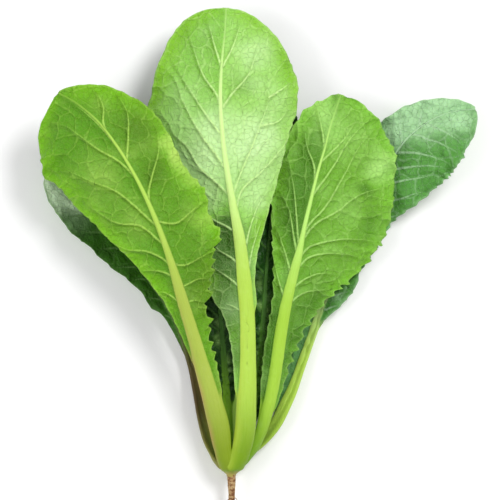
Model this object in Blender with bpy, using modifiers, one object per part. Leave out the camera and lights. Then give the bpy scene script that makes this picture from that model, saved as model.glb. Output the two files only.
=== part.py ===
"""A young loose-leaf bok choy, picked with its taproot and lying on its back.

Lengths in the tables are millimetres, measured from the root collar: x to the right, y up the plant
and z above the surface that it lies on. The front leaves show their backs, the rear ones their faces.
"""
import math

import bmesh
import bpy
import numpy as np

COLLECTION = "bok_choy"

# Driving sizes, in millimetres
MM = 0.001              # metres in a millimetre
COLLAR_Y = -20.0        # the root collar is this far below the origin, the flat spot under the rear stalk
AXIS_Z = 13.0           # height of the crown's and the root's axis above the surface
PLANT_LENGTH = 278.5    # root collar to the tip of the front centre leaf
ROOT_LENGTH = 50.0
SHEET = 0.8             # thickness of a blade
GAP = 0.35              # clear space between neighbouring solids
SWEEP = 0.55            # how far a row of the blade runs forward for each millimetre that it runs out
BRIDGE_HALF = 2.3       # the blade closes over the midrib once this is less than this half width

# Base plane of the stalks: their ends stand on the crown's flat top
CROWN_TOP = 4.0
CROWN_BASE = -3.0
TURN_LENGTH = 14.0      # over this length a stalk's section turns from the crown's plane to its own

# The taproot's route: x, y, how far it has sunk below the axis, and radius
ROOT = [(0, CROWN_BASE - GAP, 0, 2.7), (0.3, -9, 0.3, 2.4), (0.2, -18, 1, 1.9), (-0.9, -30, 2.6, 1.3),
        (-1.2, -41, 4.8, 0.8), (-0.2, -ROOT_LENGTH, 7, 0.35)]

# How finely the solids are divided
BLADE_ROWS = 34
HEART_ROWS = 18
WING_COLUMNS = 3        # faces from the midrib to the margin
STALK_RINGS = 12        # rings below the closed part of the blade
ARC_POINTS = 7          # points over the stalk's round back
ARC_EDGE = math.radians(12)
ROOT_POINTS = 22
CROWN_STEPS = 24
FINE = 900              # samples along a smooth curve

# Form of the leaves
SAG_AT = 40.0           # distance from the midrib at which a leaf's sag is stated
WAVE_AT = 30.0          # distance from the midrib at which its wave has its full height
WAVE_SHIFT = 1.3        # radians by which the waves of the two sides are out of step
CHANNEL = 0.35          # how far the stalk's face stands out below its spine, as a share of its depth
FLAT_SHARE = 0.8        # width of the stalk's flat face, as a share of its width

GREEN_BACK = (0.20, 0.42, 0.06)
GREEN_BACK_PALE = (0.33, 0.55, 0.13)
GREEN_FACE = (0.03, 0.13, 0.03)
GREEN_STALK = (0.42, 0.60, 0.16)
GREEN_CROWN = (0.36, 0.47, 0.12)
ROOT_CREAM = (0.72, 0.58, 0.38)

# Each leaf: spine (x, y, z); roll (distance along, degrees that its back turns from up to the right);
# left and right margins and stalk by distance along; sag, how far each side bends to the face 40 mm out;
# wave (height, length) of the edge; teeth (depth, pitch) of each margin.
LEAVES = {
    "leaf_front_left": dict(
        spine=[(-2.8, 4.4, 17.2), (-4.8, 12, 20.5), (-6.9, 25.2, 23.5), (-11.4, 43.2, 28), (-19.8, 73.2, 36),
               (-28.8, 103.2, 44), (-36, 127.2, 49), (-44.7, 151.2, 53), (-55.8, 175.2, 56),
               (-68.4, 196, 57), (-79.6, 210.2, 56), (-91.4, 220.2, 53.5), (-103.4, 227.4, 49.5)],
        roll=[(0, -32), (20, -24), (70, -14), (150, -8), (257, -6)],
        left=[(68, 6), (84, 8), (106, 12), (131.6, 22), (157.4, 33), (184, 41.4), (208.5, 42), (224, 44),
              (236, 41), (246, 31.5), (251.5, 18), (253, 1.2)],
        right=[(45, 7.5), (79, 10), (86, 12.6), (94, 11.4), (106, 19), (131.6, 33), (145, 31), (157.4, 34),
               (171, 29.4), (198, 28), (220, 21), (236, 15), (248, 7.5), (253, 1.2)],
        stalk=[(0, 6.6, 2.4), (8, 10.8, 3.3), (20, 13.4, 4), (41, 12, 3.8), (60, 10.6, 3.6), (74, 9.2, 3.2),
               (106, 7.4, 2.8), (131, 4.6, 2.4), (157, 3.2, 1.9), (184, 2.2, 1.4), (208, 1.6, 1),
               (240, 0.9, 0.6)],
        sag=(9, 7), wave=(1.6, 31), teeth=((0.5, 13), (1.3, 12)), color=GREEN_BACK),
    "leaf_front_centre": dict(
        spine=[(3.3, 4.4, 18.4), (6, 12, 21.2), (7.6, 19.2, 23), (9.3, 43.2, 27), (9.9, 67.2, 31),
               (9.6, 91.2, 34), (7.8, 115.2, 37), (5.1, 139.2, 39), (0.6, 163.2, 40.5),
               (-2.4, 181.2, 41), (-4.8, 199.2, 41.5), (-6.3, 223.2, 41), (-5.4, 247.2, 39),
               (-3.6, 265.2, 36.5), (-3, PLANT_LENGTH, 33.5)],
        roll=[(0, 26), (20, 12), (70, 6), (150, 2), (275, 0)],
        left=[(46.5, 7.5), (71, 10), (92.5, 15), (104.5, 21), (125.5, 20.5), (150, 24.6), (174, 33),
              (198.5, 42), (217, 44.5), (232, 39.5), (256, 32.5), (268, 24.5), (273.5, 14), (275.5, 1.2)],
        right=[(98, 6.5), (125.5, 9.3), (148.5, 18.4), (174, 30), (201.5, 41), (220, 46), (236, 46),
               (253, 37), (266, 24), (273, 12), (275.5, 1.2)],
        stalk=[(0, 6.8, 2.4), (7, 10.5, 3.2), (16, 12.4, 4), (41, 11.8, 4), (65, 10.2, 3.8), (89, 9.6, 3.6),
               (113, 9.4, 3.4), (125, 8.4, 3.1), (138, 7.6, 2.8), (150, 6, 2.5), (162, 4.8, 2.2),
               (180, 3.8, 1.9), (199, 3, 1.6), (223, 2.4, 1.2), (247, 1.4, 0.8), (262, 0.9, 0.6)],
        sag=(9, 9), wave=(1.3, 37), teeth=((0.5, 12), (0.5, 14)), color=GREEN_BACK_PALE),
    "leaf_front_right": dict(
        spine=[(6, 4.4, 13.6), (12.6, 11.4, 13.5), (17.4, 22.2, 14.5), (21.6, 37.2, 16.2), (25.5, 55.2, 18.5),
               (29.4, 79.2, 21), (32.4, 100.2, 23.5), (37.2, 118.2, 25.5), (41.4, 133.2, 27),
               (44.4, 148.2, 28), (48, 163.2, 28.5), (52.2, 180, 29), (56.4, 194.4, 29),
               (60, 208.2, 28), (64.2, 220.8, 26.5), (66, 226.8, 25.5)],
        roll=[(0, 82), (12, 66), (35, 38), (70, 16), (130, 6), (232, 3)],
        left=[(80, 5.5), (101.5, 7), (120.2, 11.5), (151, 19), (183.8, 23), (205, 21), (217, 19), (226, 10),
              (231, 1.2)],
        right=[(40, 6.5), (67.5, 10), (92, 18), (110.5, 23), (128, 37), (151, 47), (175, 49), (198.8, 44.4),
               (215, 36), (224, 26), (229.5, 13), (231, 1.2)],
        stalk=[(0, 5, 2), (10, 8, 2.6), (22, 9.4, 3.2), (56, 9, 3.2), (80, 8.4, 3.1), (101, 7.6, 2.9),
               (120, 6.4, 2.6), (128, 5.8, 2.4), (140, 3.8, 2), (166, 2.4, 1.5), (190, 1.6, 1.1),
               (215, 0.9, 0.6)],
        sag=(6, 6), wave=(1.6, 29), teeth=((0.6, 12), (1.6, 9.5)), color=GREEN_BACK_PALE),
    "leaf_back_left": dict(
        spine=[(-5.6, 4.4, 9.8), (-9.6, 10, 8.6), (-12.6, 16, 8.2), (-15.4, 24, 8), (-17.6, 33, 8),
               (-20.1, 46.2, 7.5), (-23.4, 61.2, 6.6), (-27, 73.2, 5.6), (-33, 88.2, 4.4),
               (-41.4, 103.2, 3.2), (-51.6, 117, 2.6), (-63.6, 131.4, 2.6), (-76.8, 146.4, 4),
               (-89.4, 159.6, 7), (-101.4, 170.4, 11), (-111, 177.6, 15)],
        roll=[(0, -122), (30, -128), (60, -148), (110, -162), (208, -165)],
        left=[(64, 5), (80, 6), (106, 8), (125, 9.5), (145, 12), (165, 15), (182, 15), (196, 12),
              (204, 7), (207, 1.2)],
        right=[(60, 6), (85, 9), (106, 14), (130, 19), (160, 23), (180, 22), (195, 17), (204, 9), (207, 1.2)],
        stalk=[(0, 5, 1.8), (10, 8, 2.4), (22, 10, 2.8), (50, 9, 2.7), (75, 7.5, 2.5), (105, 5.5, 2.1),
               (135, 3.6, 1.7), (165, 2.2, 1.2), (190, 1.2, 0.8), (200, 0.9, 0.6)],
        sag=(36, 18), wave=(1.5, 24), teeth=((0.8, 11), (1.2, 12)), color=GREEN_FACE),
    "leaf_back_right": dict(
        spine=[(5.8, 4.4, 8.4), (10.6, 10, 6.6), (16, 15, 6.2), (21.4, 20.6, 6.6), (27, 28, 7.6),
               (31.6, 36.6, 7.4), (37.2, 48, 7), (43.2, 62, 6.2), (50.4, 81, 5.2), (59.4, 103.2, 3.8),
               (68.4, 122.4, 2.8), (76.2, 142.2, 2.6), (83.4, 160.2, 3.4), (91.2, 176.4, 5.2),
               (99, 190.2, 7.5), (107, 201, 10), (119, 210.6, 12.8), (132.6, 216.6, 15.4),
               (145.5, 218.4, 17.5)],
        roll=[(0, 126), (30, 138), (70, 152), (130, 162), (268, 168)],
        left=[(42, 6), (58, 9), (80, 9.5), (105, 8), (133, 8), (160, 9), (176, 12), (190, 17), (204, 20.5),
              (218, 20.5), (235, 17), (251, 13), (263, 8), (268, 1.2)],
        right=[(94, 4.8), (112, 7), (126, 10), (146, 12.5), (166, 15), (182, 22.7), (196, 29), (212, 33),
               (235, 32.5), (253, 28), (264, 18), (268, 9), (268, 1.2)],
        stalk=[(0, 5, 1.8), (12, 8, 2.4), (30, 9, 2.8), (60, 8, 2.7), (100, 6, 2.4), (135, 4, 1.9),
               (165, 2.8, 1.5), (200, 1.8, 1), (235, 1, 0.6)],
        sag=(12, 9), wave=(1.6, 27), teeth=((0.6, 13), (1.4, 12)), color=GREEN_FACE),
    "leaf_back_centre": dict(
        spine=[(0, 4.4, 5.4), (0, 10, 3.1), (0, 15, 2.7), (0, 22, 2.7), (1, 43, 2.8), (3, 70, 2.8),
               (6, 100, 2.7), (9, 135, 2.5), (11, 170, 2.5), (12, 200, 4), (13, 222, 7), (13.5, 238, 11)],
        roll=[(0, 180), (234, 180)],
        left=[(60, 6.5), (80, 12), (100, 20), (125, 28), (150, 32), (180, 33), (205, 31), (221, 22),
              (231, 10), (233, 1.2)],
        right=[(66, 6.5), (84, 12), (100, 19), (125, 27), (150, 31), (180, 32), (205, 30), (221, 21),
               (231, 10), (233, 1.2)],
        stalk=[(0, 6, 2.1), (7, 10, 3.1), (14, 12, 3.4), (45, 10.5, 3.3), (70, 9, 3), (100, 7, 2.6),
               (135, 4.4, 2), (170, 3, 1.5), (200, 1.8, 1), (222, 1, 0.6)],
        sag=(13, 13), wave=(1.6, 26), teeth=((1.2, 13), (1.2, 12)), color=GREEN_FACE),
    "heart_left": dict(
        spine=[(-1.6, 4.4, 13.4), (-1.8, 12, 13.6), (-2, 25, 13.8), (-2.4, 43, 14.4), (-4, 65, 16.5),
               (-6, 90, 19.5), (-8, 115, 22.5), (-9, 135, 24.5)],
        roll=[(0, 160), (131, 165)],
        left=[(44, 5), (58, 10), (74, 14), (92, 15), (110, 12), (123, 7), (129, 1.2)],
        right=[(40, 5), (56, 9), (74, 12), (92, 13), (110, 11), (123, 6), (129, 1.2)],
        stalk=[(0, 3.5, 1.2), (15, 6, 1.8), (40, 5.5, 1.8), (70, 4, 1.5), (100, 2.4, 1.1), (118, 1, 0.6)],
        sag=(14, 14), wave=(1.6, 17), teeth=((1.3, 10), (1.3, 10)), color=GREEN_FACE),
    "heart_right": dict(
        spine=[(2.2, 4.4, 11), (5, 12, 10.9), (9, 25, 11), (14, 43, 11.6), (18, 70, 13), (20, 100, 15),
               (22, 130, 17), (24, 155, 18.5), (25, 172, 19)],
        roll=[(0, 190), (168, 190)],
        left=[(58, 5), (76, 8), (100, 11), (125, 12), (148, 9), (161, 5), (166, 1.2)],
        right=[(26, 4.5), (42, 7.5), (62, 8.5), (80, 9), (102, 9.5), (125, 9), (148, 7), (161, 4),
               (166, 1.2)],
        stalk=[(0, 3.5, 1.2), (12, 6, 1.8), (45, 5.5, 1.8), (80, 4, 1.5), (120, 2.4, 1), (150, 1, 0.6)],
        sag=(12, 12), wave=(1.2, 19), teeth=((1.3, 11), (1.2, 11)), color=GREEN_FACE),
}


def smooth(knots, stations):
    """Read a smooth curve through the knots, whose first column is the station, at other stations."""
    table = np.array(knots, float)
    at, value = table[:, 0], table[:, 1:]
    slope = np.gradient(value, at, axis=0)
    where = np.clip(stations, at[0], at[-1])
    low = np.clip(np.searchsorted(at, where) - 1, 0, len(at) - 2)
    span = (at[low + 1] - at[low])[:, None]
    t = (where - at[low])[:, None] / span
    rise = t * t * (3 - 2 * t)
    return (value[low] * (1 - rise) + value[low + 1] * rise
            + span * t * (1 - t) * ((1 - t) * slope[low] - t * slope[low + 1]))


def run_length(points):
    """Distance along a line of points, from its first one."""
    return np.r_[0, np.cumsum(np.linalg.norm(np.diff(points, axis=0), axis=1))]


def curve_through(points):
    """Fine samples of a smooth curve through points, spaced by chord length."""
    points = np.array(points, float)
    chord = run_length(points)
    return smooth(np.column_stack([chord, points]), np.linspace(0, chord[-1], FINE))


class Leaf:
    """Turns a distance along the midrib and one across it into a point of the leaf."""

    def __init__(self, leaf):
        self.leaf = leaf
        self.line = curve_through(leaf["spine"])
        self.along = run_length(self.line[:, :2])
        self.length = self.along[-1]
        heading = np.gradient(self.line[:, :2], self.along, axis=0)
        heading /= np.linalg.norm(heading, axis=1)[:, None]
        self.heading = heading
        turn = np.clip(self.along / TURN_LENGTH, 0, 1)[:, None]
        across = np.column_stack([heading[:, 1], -heading[:, 0]])
        across = (1 - turn) * np.array([1.0, 0.0]) + turn * across
        self.across = across / np.linalg.norm(across, axis=1)[:, None]
        self.roll = np.radians(smooth(leaf["roll"], self.along)[:, 0])

    def read(self, values, stations):
        """Interpolate one row of values per sample of the midrib at the stations."""
        if values.ndim == 1:
            return np.interp(stations, self.along, values)
        return np.column_stack([np.interp(stations, self.along, column) for column in values.T])

    def stalk_size(self, stations):
        """Half width and depth of the stalk or midrib."""
        size = smooth(self.leaf["stalk"], stations)
        return size[:, 0] / 2, size[:, 1]

    def blade_points(self, stations, offsets):
        """Points of the blade's back, by distance along and, positive to the right, across."""
        base = self.read(self.line, stations)
        beyond = np.maximum(stations - self.length, 0)
        base[:, :2] += self.heading[-1] * beyond[:, None]
        side = self.read(self.across, stations)
        roll = self.read(self.roll, stations)
        face = -np.sign(np.cos(roll))
        left_sag, right_sag = self.leaf["sag"]
        sag = np.where(offsets < 0, left_sag, right_sag) * (offsets / SAG_AT) ** 2
        height, length = self.leaf["wave"]
        phase = math.tau * stations / length + WAVE_SHIFT * np.sign(offsets)
        wave = height * (offsets / WAVE_AT) ** 2 * np.sin(phase)
        rise = -np.tan(roll) * offsets + face * sag + wave
        points = base + np.column_stack([side * offsets[:, None], rise])
        points[:, 2] = np.maximum(points[:, 2], 0)
        return points

    def margin(self, side):
        """The margin on one side, as distances along and across, with its teeth."""
        edge = curve_through(self.leaf[side])
        depth, pitch = self.leaf["teeth"][side == "right"]
        run = run_length(edge)
        fade = np.minimum(1, np.minimum(run, run[-1] - run) / pitch)
        edge[:, 1] += depth * fade * np.sin(math.tau * run / pitch)
        return edge

    def rows(self, count):
        """Stations on the midrib and, for each side, where each row meets the margin."""
        inner, edges = {}, {}
        for side in ("left", "right"):
            edges[side] = self.margin(side)
            inner[side] = np.maximum.accumulate(edges[side] @ [1, -SWEEP] + 1e-6 * np.arange(FINE))
        first = min(inner["left"][0], inner["right"][0])
        last = min(inner["left"][-1], inner["right"][-1])
        fine = np.linspace(first, last, FINE)
        ends = {side: np.column_stack([np.interp(fine, inner[side], edges[side][:, k]) for k in (0, 1)])
                for side in edges}
        work = run_length(ends["left"]) + run_length(ends["right"]) + (fine - first)
        pick = np.interp(np.linspace(0, work[-1], count + 1), work, fine)
        for side in edges:
            start = inner[side][0]
            pick[np.argmin(np.abs(pick - start))] = start
        pick.sort()
        ends = {side: np.column_stack([np.interp(pick, inner[side], edges[side][:, k]) for k in (0, 1)])
                for side in edges}
        starts = {side: inner[side][0] for side in edges}
        return pick, ends, starts


def material(name, color, roughness):
    """A plain coloured material of the part."""
    made = bpy.data.materials.new(name)
    made.use_nodes = True
    shader = made.node_tree.nodes["Principled BSDF"]
    shader.inputs["Base Color"].default_value = (*color, 1)
    shader.inputs["Roughness"].default_value = roughness
    shader.inputs["Metallic"].default_value = 0
    return made


def add_object(name, data, color, roughness=0.5):
    """Link an object of the part, with a material of its own."""
    made = bpy.data.objects.new(name, data)
    data.materials.append(material(name, color, roughness))
    bpy.data.collections[COLLECTION].objects.link(made)
    return made


def shifted(points):
    """Points in metres from the origin, from millimetres from the root collar."""
    return (np.asarray(points) + [0, COLLAR_Y, 0]) * MM


def blade(name, shape, rows_wanted):
    """A leaf's blade: an open sheet, split below by the stalk, thickened towards its face."""
    stations, ends, starts = shape.rows(rows_wanted)
    half, _ = shape.stalk_size(stations)
    inner = np.maximum(half + 1.5 * GAP, 2 * GAP)
    columns = 2 * WING_COLUMNS + 1
    bm = bmesh.new()
    bmesh.ops.create_grid(bm, x_segments=columns, y_segments=len(stations) - 1, size=1)
    along, across, cells = [], [], []
    for vert in bm.verts:
        column = round((vert.co.x + 1) / 2 * columns)
        row = round((vert.co.y + 1) / 2 * (len(stations) - 1))
        side = "left" if column <= WING_COLUMNS else "right"
        share = abs(column - columns / 2) - 0.5
        share /= WING_COLUMNS
        reach, width = ends[side][row]
        width = max(width, inner[row] + 2 * GAP)
        sign = -1 if side == "left" else 1
        along.append(stations[row] + (reach - stations[row]) * share)
        across.append(sign * (inner[row] + (width - inner[row]) * share))
        cells.append((column, row))
    points = shifted(shape.blade_points(np.array(along), np.array(across)))
    cell_of = dict(zip(bm.verts, cells))
    bridge = stations[np.argmax(half < BRIDGE_HALF)]
    drop = []
    for face in bm.faces:
        column = min(cell_of[vert][0] for vert in face.verts)
        low = stations[min(cell_of[vert][1] for vert in face.verts)]
        start = {True: starts["left"], False: starts["right"]}[column < WING_COLUMNS]
        if column == WING_COLUMNS:
            start = bridge
        if low < start - 1e-6:
            drop.append(face)
    for vert, point in zip(bm.verts, points):
        vert.co = point
    bmesh.ops.delete(bm, geom=drop, context="FACES")
    bmesh.ops.triangulate(bm, faces=bm.faces, quad_method="FIXED")
    if math.cos(shape.roll[-1]) < 0:
        bmesh.ops.reverse_faces(bm, faces=bm.faces)
    mesh = bpy.data.meshes.new(name)
    bm.to_mesh(mesh)
    bm.free()
    made = add_object(name, mesh, shape.leaf["color"])
    solidify = made.modifiers.new("thickness", "SOLIDIFY")
    solidify.thickness = SHEET * MM
    solidify.offset = -1
    return stations[stations >= bridge - 1e-6]


def stalk(name, shape, bridged):
    """A leaf's stalk and midrib: round-backed sections, which lie on the blade where it is closed."""
    last = shape.leaf["stalk"][-1][0]
    stations = np.r_[np.linspace(0, bridged[0], STALK_RINGS, endpoint=False),
                     bridged[bridged < last]]
    half, depth = shape.stalk_size(stations)
    base = shape.read(shape.line, stations)
    side = shape.read(shape.across, stations)
    roll = shape.read(shape.roll, stations)
    on_blade = stations >= bridged[0] - 1e-6
    floor = np.where(on_blade, GAP, -CHANNEL * depth)
    lift = np.where(on_blade, GAP, 0)
    angles = np.linspace(ARC_EDGE, math.pi - ARC_EDGE, ARC_POINTS)
    bm = bmesh.new()
    rings = []
    for k in range(len(stations)):
        section = [(half[k] * math.cos(a), lift[k] + depth[k] * math.sin(a)) for a in angles]
        section += [(sign * FLAT_SHARE * half[k], floor[k]) for sign in (-1, 1)]
        right = np.array([*(side[k] * math.cos(roll[k])), -math.sin(roll[k])])
        out = np.array([*(side[k] * math.sin(roll[k])), math.cos(roll[k])])
        ring = np.array([base[k] + u * right + h * out for u, h in section])
        ring[:, 2] = np.maximum(ring[:, 2], 0)
        rings.append([bm.verts.new(point) for point in shifted(ring)])
    count = len(rings[0])
    for below, above in zip(rings, rings[1:]):
        for k in range(count):
            bm.faces.new((below[k], below[(k + 1) % count], above[(k + 1) % count], above[k]))
    bm.faces.new(rings[0][::-1])
    bm.faces.new(rings[-1])
    bmesh.ops.recalc_face_normals(bm, faces=bm.faces)
    mesh = bpy.data.meshes.new(name)
    bm.to_mesh(mesh)
    bm.free()
    add_object(name, mesh, GREEN_STALK)


def crown():
    """The short stem that all stalks grow from, widening from the collar to a flat top."""
    profile = [(0, CROWN_TOP), (7.8, CROWN_TOP), (8.6, 3.2), (8.4, 1.6), (7.1, 0.1), (5, -1.2), (3.4, -2.2),
               (2.9, CROWN_BASE), (0, CROWN_BASE)]
    edges = [(k, k + 1) for k in range(len(profile) - 1)]
    mesh = bpy.data.meshes.new("crown")
    mesh.from_pydata([(radius * MM, 0, height * MM) for radius, height in profile], edges, [])
    made = add_object("crown", mesh, GREEN_CROWN)
    screw = made.modifiers.new("turned", "SCREW")
    screw.steps = screw.render_steps = CROWN_STEPS
    screw.use_merge_vertices = True
    screw.merge_threshold = 0.00001
    screw.use_normal_calculate = True
    made.rotation_euler = (-math.pi / 2, 0, 0)
    made.location = (0, COLLAR_Y * MM, AXIS_Z * MM)


def taproot():
    """The thin taproot, tapering and sinking a little away from the collar."""
    route = curve_through([(x, y, AXIS_Z - sunk, radius) for x, y, sunk, radius in ROOT])
    picked = route[np.linspace(0, FINE - 1, ROOT_POINTS).astype(int)]
    data = bpy.data.curves.new("taproot", "CURVE")
    data.dimensions = "3D"
    data.bevel_depth = MM
    data.bevel_resolution = 2
    data.use_fill_caps = True
    spline = data.splines.new("POLY")
    spline.points.add(len(picked) - 1)
    for point, place, radius in zip(spline.points, shifted(picked[:, :3]), picked[:, 3]):
        point.co = (*place, 1)
        point.radius = radius
    add_object("taproot", data, ROOT_CREAM, 0.7)


def main():
    for old in list(bpy.data.objects):
        bpy.data.objects.remove(old, do_unlink=True)
    bpy.context.scene.collection.children.link(bpy.data.collections.new(COLLECTION))
    crown()
    taproot()
    for name, leaf in LEAVES.items():
        shape = Leaf(leaf)
        rows = HEART_ROWS if name.startswith("heart") else BLADE_ROWS
        bridged = blade(name + "_blade", shape, rows)
        stalk(name + "_stalk", shape, bridged)


main()
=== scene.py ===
"""Looks of a young loose-leaf bok choy lying on its back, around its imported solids.

Lengths in the tables are millimetres from the root collar, as in the part's source: x to the right,
y up the plant, z above the surface. Each leaf is one closed fine mesh, from its stalk to its margin.
"""
import math

import bpy
import numpy as np
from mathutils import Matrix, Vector


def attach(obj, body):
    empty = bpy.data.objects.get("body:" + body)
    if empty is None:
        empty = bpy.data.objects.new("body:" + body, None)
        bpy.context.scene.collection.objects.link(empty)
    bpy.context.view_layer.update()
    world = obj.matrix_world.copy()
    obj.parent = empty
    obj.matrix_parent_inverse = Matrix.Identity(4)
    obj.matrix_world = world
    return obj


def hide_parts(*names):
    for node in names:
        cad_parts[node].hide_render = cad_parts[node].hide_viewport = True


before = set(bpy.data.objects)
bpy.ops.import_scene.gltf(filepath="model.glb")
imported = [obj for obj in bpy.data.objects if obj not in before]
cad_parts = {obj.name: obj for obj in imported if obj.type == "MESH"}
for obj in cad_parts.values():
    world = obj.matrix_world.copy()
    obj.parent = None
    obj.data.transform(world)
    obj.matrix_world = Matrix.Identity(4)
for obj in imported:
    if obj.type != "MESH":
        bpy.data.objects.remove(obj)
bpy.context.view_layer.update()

MM = 0.001
COLLAR_Y = -20.0  # the root collar, from the row's origin
AXIS_Z = 13.0  # height of the crown's and the root's axis
CROWN_TOP = 4.0
CROWN_BASE = -3.0
PLANT_LENGTH = 278.5
ROOT_LENGTH = 50.0
TURN_LENGTH = 14.0  # over this length a stalk's section turns from the crown's plane to its own
SWEEP = 0.35  # how far a row of the blade runs forward for each millimetre that it runs out
SAG_AT = 40.0  # how far out the sag given for a blade is reached
WAVE_AT = 30.0  # and the height of its wave
WAVE_SHIFT = 1.3  # phase by which the wave runs ahead on a blade's right and behind on its left
CHANNEL = 0.35  # depth of the channel in a stalk's face, as a share of the stalk's
FINE = 900  # samples of a leaf's midrib and margins

# Fine form of the leaves
SUNK = -5.2  # the stalks start this far into the crown
TOE = 4.4  # over this length a stalk's foot is rounded off
FOOT = 9.0  # over this length it swells towards the crown
BLADE_THICK = 0.7
EDGE_THICK = 0.12  # thickness where the blade's wing begins
RAMP = 10.0  # length over which a blade's wing grows out of the stalk
WIDE_WING = 16.0  # from this width on a wing's columns of faces crowd towards the midrib
MARGIN_THIN = 3.0  # the blade thins over this distance to its margin
NET_CELL = 11.0  # size of the cells between the netted veins
SUNKEN = 0.85  # how far the blade is drawn in between its side veins, seen from its back
SUNKEN_NET = 0.40  # and between its netted veins
RIDGE = 0.62  # height of a side vein where it leaves the midrib
RIDGE_NET = 0.18  # and of a netted vein
JOIN_REACH = 7.0  # a side vein that starts within this of the midrib is joined to it
JOIN_RUN = 4.0  # so far below that place
ON_MIDRIB = 1.5  # a vein's first point this near the midrib gives way to the joint
LIT_FROM = np.array([0.65, 0.76])  # direction in plan from which the veins' flanks are lit
TOOTH_PEAK = 0.7  # where along a tooth its point lies
CLOSED_HALF = 2.3  # a midrib of less than this half width has the blade closed over it

# Shapes of the leaves, row after row: x, y and z of the spine; station and degrees of roll; station and
# reach of the left and right margins; station, width and depth of the stalk. Veins are routes of x and y,
# or a rule: count, first and last station of the pairs that leave the midrib. Teeth are each side's pitch
# and its depths by station. Quilt is how strongly the blade is drawn in between its veins, frill the
# height and length of the ripples at its margin. Patches are x, y, radius and strength of painted light,
# above 0 a painted highlight and below 0 painted shade. Grid is the mesh's rows and its faces from the midrib
# to the margin.
COLUMNS = dict(spine=3, roll=2, left=2, right=2, stalk=3, patches=4)
LEAVES = {}
LEAVES["leaf_front_left"] = dict(
    spine=[-2.8, 4.4, 17.2, -4.8, 12, 20.5, -6.9, 25.2, 23.5, -11.4, 43.2, 28, -19.8, 73.2, 36,
        -28.8, 103.2, 44, -36, 127.2, 49, -44.7, 151.2, 53, -55.8, 175.2, 56, -68.4, 196, 57,
        -79.6, 210.2, 56, -91.4, 220.2, 53.5, -103.4, 227.4, 49.5],
    roll=[0, -32, 20, -24, 70, -14, 150, -8, 257, -6],
    left=[68, 6, 84, 8, 106, 12, 119, 17, 131.6, 22, 145, 27.6, 157.4, 33, 171, 37, 184, 41.4, 206, 44,
        217, 47.3, 225, 45.6, 231.5, 42.3, 238, 40.3, 244, 36.6, 249, 29, 251.5, 15, 252, 1.2],
    right=[45, 7.5, 66, 9, 79, 9.6, 86, 12.8, 94, 11.2, 99, 16, 106, 18.5, 119, 24.5, 125, 26.5, 131.6, 33.4,
        145, 31, 157.4, 34, 171, 29.4, 198, 30, 207, 29.5, 214, 27.4, 220, 24.4, 231, 19.2, 238, 14, 245, 8,
        249, 4, 251, 1.2],
    stalk=[0, 9, 2.4, 8, 11.4, 3.3, 20, 13.4, 4, 41, 12, 3.8, 60, 10.6, 3.6, 74, 9.2, 3.2, 106, 7.4, 2.8,
        131, 4.6, 2.4, 157, 3.2, 1.9, 184, 2.2, 1.4, 208, 1.6, 1, 240, 0.9, 0.6],
    sag=(9, 7), wave=(1.6, 31), crinkle=0.7, quilt=1.2, frill=(0.6, 15), grid=(350, 62), seed=11,
    teeth=((9, [68, 0.2, 150, 0.4, 253, 0.35]), (7.4, [45, 0.3, 80, 1.5, 107, 1.7, 135, 1.3, 150, 0.6,
        165, 0.9, 190, 0.4, 253, 0.3])),
    patches=[-36, 198, 7, 0.8, -30, 189, 6, 0.9, -24, 178, 6, 0.6, -9, 154, 8, 0.5, -78, 176, 14, 0.3,
        -58, 150, 12, 0.3, -52, 204, 14, -0.5, -45, 178, 8, -0.5, -12, 122, 14, -0.6, -17, 102, 14, -0.5],
    veins=[[-59, 180, -68, 187, -79, 193, -91, 202, -101, 208, -109, 208],
        [-47, 150, -58, 160, -68, 168, -83, 174, -94, 179, -109, 182],
        [-43, 139, -55, 148, -67, 149, -77, 154, -89, 163], [-38, 126, -49, 132, -64, 134, -73, 139],
        [-36, 118, -49, 121, -56, 120], [-32, 103, -41, 108, -47, 108],
        [-50, 163, -49, 168, -47, 177, -43, 193, -44, 206], [-47, 154, -34, 149, -19, 160, -12, 164],
        [-38, 126, -29, 124, -16, 130, -5, 135], [-34, 112, -28, 112, -19, 116, -7, 115],
        [-30, 100, -22, 103, -13, 101], [-64, 190, -61, 202, -62, 216, -68, 226],
        [-68, 197, -79, 208, -88, 216, -95, 221], [-76, 209, -76, 218, -80, 228]])
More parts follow.
